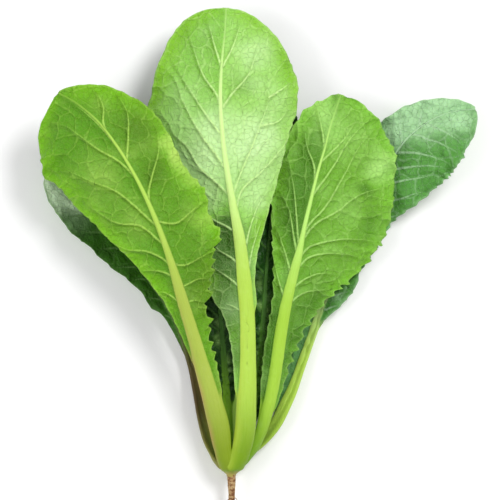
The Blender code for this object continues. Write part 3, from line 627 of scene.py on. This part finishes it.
def put_in_scene(name, data):
    """A new object in the scene."""
    made = bpy.data.objects.new(name, data)
    bpy.context.scene.collection.objects.link(made)
    return made


def add_piece(name, mesh, finish, slot, *nodes):
    """Show a mesh as a piece of the plant, in place of some of its solids."""
    piece = put_in_scene(name, mesh)
    mesh.materials.append(finish)
    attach(piece, "root")
    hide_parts(*nodes)
    return piece


class Finish:
    """A node-built material, with short calls for its nodes."""

    def __init__(self, name):
        self.material = bpy.data.materials.new(name)
        self.material.use_nodes = True
        self.tree = self.material.node_tree

    def add(self, kind, inputs, **settings):
        """A node with its settings and its inputs, each a socket or a value."""
        made = self.tree.nodes.new(kind)
        for key, value in settings.items():
            setattr(made, key, value)
        self.put(made, inputs)
        return made

    def put(self, node, inputs):
        """Link a node's sockets to others, or give them values."""
        for key, value in dict(inputs).items():
            if isinstance(value, bpy.types.NodeSocket):
                self.tree.links.new(value, node.inputs[key])
            else:
                node.inputs[key].default_value = value

    def done(self, inputs):
        """The material, with the inputs of its shader."""
        self.put(self.tree.nodes["Principled BSDF"], inputs)
        return self.material

    def attribute(self, name):
        return self.add("ShaderNodeAttribute", {}, attribute_name=name).outputs["Fac"]

    def math(self, operation, *values, clamp=False):
        made = self.add("ShaderNodeMath", enumerate(values), operation=operation, use_clamp=clamp)
        return made.outputs[0]

    def times(self, first, second):
        return self.math("MULTIPLY", first, second)

    def most(self, value, *others):
        """The largest of several values."""
        for other in others:
            value = self.math("MAXIMUM", value, other)
        return value

    def spread(self, value, low, high, out_low=0.0, out_high=1.0):
        """Map a range of a value smoothly to another."""
        made = self.add("ShaderNodeMapRange", {"Value": value, "From Min": low, "From Max": high,
                                               "To Min": out_low, "To Max": out_high},
                        interpolation_type="SMOOTHSTEP")
        return made.outputs["Result"]

    def mix(self, share, first, second):
        """Mix two colours."""
        made = self.add("ShaderNodeMix", {0: share, 6: first, 7: second}, data_type="RGBA")
        return made.outputs[2]

    def vary(self, share, tone, value, saturation):
        """Mix a colour with a lighter or darker, more or less saturated one."""
        other = self.add("ShaderNodeHueSaturation", {"Color": tone, "Value": value, "Saturation": saturation})
        return self.mix(share, tone, other.outputs[0])

    def place(self):
        return self.add("ShaderNodeTexCoord", {}).outputs["Object"]

    def noise(self, size, detail=3.0, vector=None):
        """Noise from 0 to 1 with features of a size in millimetres."""
        made = self.add("ShaderNodeTexNoise", {"Scale": 1 / (size * MM), "Detail": detail,
                                               "Vector": vector or self.place()})
        return made.outputs["Fac"]

    def cells(self, size, border, vector):
        """Lines between cells in plan, of a size in millimetres. They fade out a border's width away."""
        made = self.add("ShaderNodeTexVoronoi", {"Scale": 1 / (size * MM), "Vector": vector},
                        feature="DISTANCE_TO_EDGE", voronoi_dimensions="2D")
        return self.spread(made.outputs["Distance"], 0, border, 1, 0)

    def bump(self, height, depth, below=None):
        """Bump of a height from 0 to 1, with its depth in millimetres."""
        inputs = {"Height": height, "Distance": depth * MM, "Strength": 1.0}
        if below is not None:
            inputs["Normal"] = below
        return self.add("ShaderNodeBump", inputs).outputs["Normal"]


def color(red, green, blue):
    """A colour for the shader, from screen values of 0 to 255."""
    values = np.array([red, green, blue]) / 255
    return (*np.where(values <= 0.04045, values / 12.92, ((values + 0.055) / 1.055) ** 2.4), 1.0)


# Screen colours of each leaf. Of its back: left and right of the midrib, near the margin, pale for paler
# mottling and painted highlights, painted shade, veins. Of its stalk: foot, middle, top, and a tinge along
# its left side, its own hue on some leaves and painted shade on others. Of its face: left, right, painted
# highlights, veins. A right side that isn't given is like the left.
REAR = dict(left=(90, 142, 60), rim=(96, 150, 50), pale=(130, 180, 100), painted_shade=(66, 112, 36),
            vein=(160, 200, 124), top=(150, 190, 110))
HEART = dict(left=(84, 132, 42), rim=(90, 140, 44), pale=(110, 160, 66), painted_shade=(50, 96, 24),
             vein=(140, 180, 90), top=(50, 92, 26), face_highlight=(140, 186, 96))
TONES = {}
TONES["leaf_front_left"] = dict(
    left=(82, 144, 4), right=(88, 146, 14), rim=(112, 178, 0), pale=(180, 218, 100), painted_shade=(68, 102, 0),
    vein=(170, 212, 90), foot=(128, 154, 24), middle=(168, 188, 76), top=(174, 214, 86),
    left_tinge_and_shade=(188, 138, 84), face_left=(44, 84, 22), face_highlight=(120, 160, 90), face_vein=(132, 168, 92))
TONES["leaf_front_centre"] = dict(
    left=(130, 190, 72), right=(146, 202, 90), rim=(120, 182, 4), pale=(190, 228, 156),
    painted_shade=(62, 108, 26), vein=(200, 236, 150), foot=(118, 156, 18), middle=(176, 212, 80),
    top=(206, 240, 150), left_tinge_and_shade=(186, 206, 68), face_left=(56, 100, 30), face_highlight=(120, 160, 90),
    face_vein=(146, 184, 106))
TONES["leaf_front_right"] = dict(
    left=(76, 130, 24), right=(108, 166, 44), rim=(116, 182, 38), pale=(168, 220, 116),
    painted_shade=(58, 110, 12), vein=(172, 218, 116), foot=(106, 152, 4), middle=(164, 206, 66),
    top=(184, 230, 116), left_tinge_and_shade=(112, 158, 22), face_left=(48, 90, 28), face_highlight=(120, 160, 90),
    face_vein=(140, 178, 100))
TONES["leaf_back_left"] = dict(
    REAR, foot=(150, 160, 70), middle=(84, 72, 34), left_tinge_and_shade=(84, 56, 36), face_left=(56, 112, 20),
    face_right=(50, 102, 18), face_highlight=(222, 250, 206), face_vein=(104, 148, 76))
TONES["leaf_back_right"] = dict(
    REAR, foot=(140, 172, 56), middle=(170, 206, 78), left_tinge_and_shade=(34, 58, 18), face_left=(88, 146, 74),
    face_right=(84, 148, 60), face_highlight=(160, 206, 150), face_vein=(168, 206, 160))
TONES["leaf_back_centre"] = dict(
    left=(92, 146, 52), rim=(100, 156, 44), pale=(130, 184, 96), painted_shade=(66, 116, 36),
    vein=(164, 204, 120), foot=(140, 180, 66), middle=(150, 190, 76), top=(150, 196, 110),
    left_tinge_and_shade=(140, 176, 70), face_left=(26, 68, 16), face_right=(22, 62, 16), face_highlight=(90, 140, 70),
    face_vein=(110, 160, 84))
# Painted light: heart_left's stalk is painted paler at its foot and middle, against the shade that the leaves
# around it cast
TONES["heart_left"] = dict(
    HEART, foot=(150, 204, 36), middle=(120, 172, 30), left_tinge_and_shade=(110, 160, 30), face_left=(30, 72, 14),
    face_right=(26, 68, 12), face_vein=(72, 120, 44))
TONES["heart_right"] = dict(
    HEART, foot=(100, 152, 32), middle=(84, 130, 28), left_tinge_and_shade=(80, 124, 28), face_left=(28, 72, 14),
    face_right=(36, 84, 18), face_vein=(76, 124, 46))


def leaf_finish(name, tones):
    """A leaf's skin: veins with painted shade on their flanks, mottled green with painted highlights and
    shade, a waxy stalk with lengthwise fibres.
    """
    made = Finish(name + "_skin")
    tones = {"right": tones["left"], "face_right": tones["face_left"], **tones}
    tones = {key: color(*tone) for key, tone in tones.items()}
    vein, net, blade, margin, rim, painted_light, up, across, painted_vein_shade, is_face = (
        made.attribute(key) for key in
        ("vein", "net", "skin", "margin", "rim", "painted_light", "up", "across", "painted_vein_shade", "face"))
    place = made.place()
    warp = made.add("ShaderNodeTexNoise", {"Scale": 1 / (3.5 * MM), "Vector": place}).outputs["Color"]
    warp = made.add("ShaderNodeVectorMath", {0: warp, 1: (0.5, 0.5, 0.5)}, operation="SUBTRACT").outputs[0]
    warp = made.add("ShaderNodeVectorMath", {0: warp, 1: (0.0016, 0.0016, 0), 2: place},
                    operation="MULTIPLY_ADD").outputs[0]
    broad, mottle, grain = made.noise(24, 2.0), made.noise(5, 4.0), made.noise(1.2)
    mesh_net = made.cells(3.4, 0.09, warp)
    hair_net = made.cells(1.5, 0.16, warp)
    # The painted light splits into painted highlight, drawn in the pale tones, and painted shade
    pale = made.math("MULTIPLY", painted_light, 1.0, clamp=True)
    painted_shade = made.math("MULTIPLY", painted_light, -1.0, clamp=True)
    middle = made.spread(across, -0.06, 0.06)

    # The back
    back = made.mix(middle, tones["left"], tones["right"])
    back = made.mix(made.times(rim, 0.85), back, tones["rim"])
    # Painted highlights and painted shade from the patches
    back = made.mix(pale, back, tones["pale"])
    back = made.mix(painted_shade, back, tones["painted_shade"])
    back = made.mix(made.spread(broad, 0.5, 0.8, 0, 0.3), back, tones["pale"])
    back = made.vary(made.spread(mottle, 0.45, 0.75, 0, 0.5), back, 0.86, 1.04)
    back = made.vary(made.spread(grain, 0.5, 0.8, 0, 0.4), back, 1.1, 0.94)
    # Painted shade beside the veins, on their sides away from the light
    back = made.vary(made.times(painted_vein_shade, 0.9), back, 0.66, 1.12)
    lines = made.most(made.times(mesh_net, 0.2), made.times(hair_net, 0.1),
                      made.spread(net, 0.35, 1, 0, 0.26), made.spread(vein, 0.25, 0.95, 0, 0.8))
    back = made.mix(lines, back, tones["vein"])
    back = made.mix(made.times(margin, 0.3), back, tones["vein"])

    # The face
    face = made.mix(middle, tones["face_left"], tones["face_right"])
    # Painted highlights on the face
    face = made.mix(pale, face, tones["face_highlight"])
    face = made.vary(made.spread(mottle, 0.4, 0.7, 0, 0.7), face, 0.66, 1.06)
    face = made.vary(made.spread(grain, 0.5, 0.8, 0, 0.5), face, 1.25, 0.9)
    lines = made.most(made.times(mesh_net, 0.16), made.spread(net, 0.25, 0.95, 0, 0.3),
                      made.spread(vein, 0.2, 0.85, 0, 0.7), made.times(margin, 0.4))
    face = made.mix(lines, face, tones["face_vein"])

    # The stalk and midrib, with fibres drawn out along it
    fibre_place = made.add("ShaderNodeCombineXYZ",
                           {"X": made.math("MULTIPLY_ADD", across, 0.11, 0.0137),
                            "Y": made.times(up, 0.02), "Z": 0.0053})
    fibres = made.noise(1.1, 3.0, fibre_place.outputs[0])
    rib = made.mix(made.spread(up, 0, 0.2), tones["foot"], tones["middle"])
    rib = made.mix(made.spread(up, 0.38, 0.7), rib, tones["top"])
    # A tinge along the stalk's left side: its own hue on some leaves, painted shade on others such as
    # leaf_front_right
    left_tinge_and_shade = made.times(made.spread(across, -0.16, -0.02, 1, 0), made.spread(up, 0.3, 0.5, 0.75, 0))
    rib = made.mix(made.times(left_tinge_and_shade, made.spread(broad, 0.3, 0.6, 0.5, 1)), rib, tones["left_tinge_and_shade"])
    rib = made.vary(made.spread(fibres, 0.35, 0.8, 0, 0.5), rib, 0.84, 1.05)
    rib = made.vary(made.spread(mottle, 0.5, 0.8, 0, 0.3), rib, 1.12, 0.9)
    back = made.mix(made.most(blade, made.spread(up, 0.8, 0.97, 0, 0.75)), rib, back)
    face = made.mix(blade, made.mix(made.spread(up, 0.25, 0.6), rib, tones["face_vein"]), face)

    ridges = made.bump(made.math("ADD", made.times(vein, 0.9), made.times(net, 0.5)), 0.5)
    wrinkle = made.bump(made.times(made.noise(2.8), blade), 0.75, ridges)
    pebble = made.bump(made.times(mesh_net, blade), 0.22, wrinkle)
    pores = made.bump(made.math("ADD", grain, made.times(hair_net, 0.3)), 0.16, pebble)
    streaks = made.bump(made.times(fibres, made.math("SUBTRACT", 1.0, blade)), 0.12, pores)
    return made.done({
        "Base Color": made.mix(is_face, back, face),
        "Roughness": made.math("ADD", made.spread(mottle, 0.3, 0.7, 0.44, 0.58), made.times(is_face, -0.1)),
        "Specular IOR Level": 0.24, "Subsurface Weight": 0.06, "Subsurface Radius": (0.6, 1.0, 0.2),
        "Subsurface Scale": 0.001, "Normal": streaks})


def crown_finish():
    """The green stem base, browner at the collar, with faint mottling."""
    made = Finish("crown_skin")
    across = made.add("ShaderNodeSeparateXYZ", {"Vector": made.place()}).outputs["Y"]
    height = made.math("DIVIDE", made.math("SUBTRACT", across, COLLAR_Y * MM), MM)
    tone = made.mix(made.spread(height, -3.0, 0.6), color(166, 154, 74), color(112, 148, 10))
    tone = made.mix(made.spread(made.noise(2.4, 4.0), 0.48, 0.7, 0, 0.6), tone, color(108, 146, 18))
    return made.done({"Base Color": tone, "Roughness": 0.5, "Specular IOR Level": 0.35,
                      "Normal": made.bump(made.noise(1.1, 4.0), 0.2)})


def root_finish():
    """Cream root skin with dark brown blotches and spots, drawn out round the root."""
    made = Finish("taproot_skin")
    squeezed = made.add("ShaderNodeMapping", {"Vector": made.place(), "Scale": (1.0, 1.9, 1.0)}).outputs[0]
    blotch = made.noise(2.6, 4.0, squeezed)
    spots = made.noise(0.9, 3.0, squeezed)
    tone = made.mix(made.spread(blotch, 0.38, 0.56), color(184, 156, 112), color(158, 120, 76))
    tone = made.mix(made.spread(blotch, 0.52, 0.6), tone, color(112, 70, 40))
    tone = made.mix(made.spread(spots, 0.56, 0.66), tone, color(78, 42, 24))
    return made.done({"Base Color": tone, "Roughness": 0.72, "Specular IOR Level": 0.3,
                      "Normal": made.bump(made.noise(0.8, 3.0, squeezed), 0.25)})


def turned_rows(route, sides, swell):
    """Rings of points round a route of (x, y, z, radius), each radius changed by swell(y, angle)."""
    centre = route[:, :3]
    tangent = headings(np.gradient(centre, axis=0))
    right = headings(np.cross(tangent, [0, 0, 1.0]))
    up = np.cross(right, tangent)
    angle = np.linspace(0, math.tau, sides, endpoint=False)
    radius = route[:, 3][:, None] * swell(centre[:, 1][:, None], angle[None, :])
    return (centre[:, None] + right[:, None] * (np.cos(angle)[None, :, None] * radius[..., None])
            + up[:, None] * (np.sin(angle)[None, :, None] * radius[..., None]))


def closed_tube(name, rings):
    """A mesh through rings of points, closed by a small fan of quads at each end."""
    rows, sides = rings.shape[:2]
    first, last = rings[:1].mean(axis=1, keepdims=True), rings[-1:].mean(axis=1, keepdims=True)
    rings = np.concatenate([first + 0.02 * (rings[:1] - first), rings, last + 0.02 * (rings[-1:] - last)])
    rows += 2
    index = np.arange(rows * sides).reshape(rows, sides)
    turned = np.roll(index, -1, axis=1)
    quads = np.stack([index[:-1], index[1:], turned[1:], turned[:-1]], -1).reshape(-1, 4)
    fan = np.arange(0, sides - 2, 2)
    caps = [np.stack([ring[0] + 0 * fan, ring[fan + 1], ring[fan + 2], ring[(fan + 3) % sides]], -1)
            for ring in (index[0], index[-1][::-1])]
    quads = np.concatenate([quads, *[cap[:-1] for cap in caps]])
    return new_mesh(name, shifted(rings.reshape(-1, 3)), quads)


def make_crown():
    """The crown: a rounded stem base that swells under each stalk."""
    bulges = [math.atan2(z - AXIS_Z, x) for x, z in
              ((-2.8, 17.2), (3.3, 18.4), (6, 13.6), (-5.6, 9.8), (5.8, 8.4), (0, 5.4))]
    profile = [(CROWN_TOP + 3.4, 2.2), (CROWN_TOP + 2.4, 4.4), (CROWN_TOP + 0.4, 5.8), (2.2, 6.7),
               (0.6, 6.6), (-0.7, 5.6), (-2.0, 3.9), (CROWN_BASE, 2.95), (CROWN_BASE - 1.2, 2.75)]

    def swell(y, angle):
        lobes = sum(bell(np.angle(np.exp(1j * (angle - at))), 0.42) for at in bulges)
        scars = 0.012 * np.sin(y * 5.2 + 0.7 * np.sin(3 * angle))
        return 1 + (0.10 * lobes - 0.05) * ease((y + 1.5) / 4) + scars * ease((3 - y) / 2)

    up, radius = curve_through(profile, 90).T
    rings = turned_rows(np.column_stack([0 * up, up, 0 * up + AXIS_Z, radius]), 96, swell)
    add_piece("crown_stem", closed_tube("crown_stem", rings), crown_finish(), "crown", "crown")


def make_root():
    """The taproot, uneven round and along, with a few thread-like rootlets."""
    route = curve_through([(0, CROWN_BASE + 0.6, AXIS_Z, 2.75), (0.3, -9, AXIS_Z - 0.3, 2.4),
                           (0.2, -18, AXIS_Z - 1, 1.9), (-0.9, -30, AXIS_Z - 2.6, 1.3),
                           (-1.2, -41, AXIS_Z - 4.8, 0.8), (-0.2, -ROOT_LENGTH, AXIS_Z - 7, 0.3)], 260)

    def swell(y, angle):
        points = np.stack(np.broadcast_arrays(y / 2.2, 2.4 * np.cos(angle), 2.4 * np.sin(angle)), -1)
        lumps = value_noise(points.reshape(-1, 3), 1.6, 21).reshape(points.shape[:2])
        rings = value_noise(np.stack([y[:, 0], 0 * y[:, 0]], -1), 0.8, 22)[:, None]
        return 1 + 0.10 * lumps + 0.035 * rings

    finish = root_finish()
    mesh = closed_tube("taproot_skin", turned_rows(route, 40, swell))
    root = add_piece("taproot_skin", mesh, finish, "taproot", "taproot")
    rng = np.random.default_rng(5)
    for k in range(9):
        *start, radius = route[int(rng.uniform(0.25, 0.8) * len(route))]
        turn = rng.uniform(0, math.tau)
        out = np.array([math.cos(turn), -0.8, math.sin(turn)])
        reach = rng.uniform(4, 8)
        sag = np.array([rng.uniform(-1, 1), -1.2, -0.25]) * reach * 0.5
        thread = curve_through([start + out * radius * 0.6, start + out * reach * 0.45,
                                start + out * reach * 0.75 + sag * 0.6,
                                start + out * reach * 0.9 + sag * 1.3], 24)
        thread[:, 2] = np.maximum(thread[:, 2], 0.3)
        tube = np.column_stack([thread, np.linspace(0.22, 0.07, len(thread))])
        rootlet = turned_rows(tube, 8, lambda y, angle: 1 + 0 * y * angle)
        piece = put_in_scene(f"rootlet_{k + 1}", closed_tube(f"rootlet_{k + 1}", rootlet))
        piece.data.materials.append(finish)
        piece.parent = root


def make_stage():
    """A plain pale floor, soft studio lights and the camera looking straight down."""
    floor = bpy.data.meshes.new("floor")
    reach = 3.0
    floor.from_pydata([(-reach, -reach, 0), (reach, -reach, 0), (reach, reach, 0), (-reach, reach, 0)], [],
                      [(0, 1, 2, 3)])
    stand = put_in_scene("floor", floor)
    stand.location.z = -0.0004
    made = Finish("floor_paint")
    paint = made.mix(made.noise(60, 2.0), (0.93, 0.93, 0.93, 1), (0.95, 0.95, 0.95, 1))
    floor.materials.append(made.done({"Base Color": paint, "Roughness": 0.9, "Specular IOR Level": 0.1}))

    world = bpy.data.worlds.new("studio")
    world.use_nodes = True
    world.node_tree.nodes["Background"].inputs["Color"].default_value = (1, 1, 1, 1)
    world.node_tree.nodes["Background"].inputs["Strength"].default_value = 0.56
    bpy.context.scene.world = world
    target = Vector((0.01, 0.11, 0.02))
    for name, place, size, power in (("key", (0.66, 0.78, 1.28), 0.6, 15),
                                     ("fill", (-1.0, 0.1, 1.1), 0.9, 6.5),
                                     ("low", (0.1, -1.1, 0.9), 0.8, 2)):
        light = bpy.data.lights.new(name, "AREA")
        light.shape = "DISK"
        light.size = size
        light.energy = power
        lamp = put_in_scene(name, light)
        lamp.location = place
        lamp.rotation_euler = (target - Vector(place)).to_track_quat("-Z", "Y").to_euler()

    camera_data = bpy.data.cameras.new("camera")
    camera_data.sensor_width = 36
    camera_data.lens = 36 * CAMERA_AWAY / VIEW_WIDTH
    camera_data.clip_end = 20
    camera = put_in_scene("camera", camera_data)
    camera.location = (VIEW_CENTRE[0] * MM, VIEW_CENTRE[1] * MM, (BLADE_HEIGHT + CAMERA_AWAY) * MM)
    bpy.context.scene.camera = camera
    bpy.context.scene.view_settings.view_transform = "Standard"


# The photograph's frame: its width at the height of the front leaves, and its centre in the row's frame
VIEW_WIDTH = 300.0
VIEW_CENTRE = (11.4, 113.2)
BLADE_HEIGHT = 40.0
CAMERA_AWAY = 2400.0

make_stage()
for leaf_name, leaf_table in LEAVES.items():
    grown_leaf = Leaf(leaf_name, leaf_table)
    leaf_slot = "leaf_back" if "front" in leaf_name else "leaf_face" if "back" in leaf_name else "heart_leaf"
    add_piece(leaf_name, grown_leaf.build(), leaf_finish(leaf_name, TONES[leaf_name]), leaf_slot,
              leaf_name + "_blade", leaf_name + "_stalk")
make_crown()
make_root()
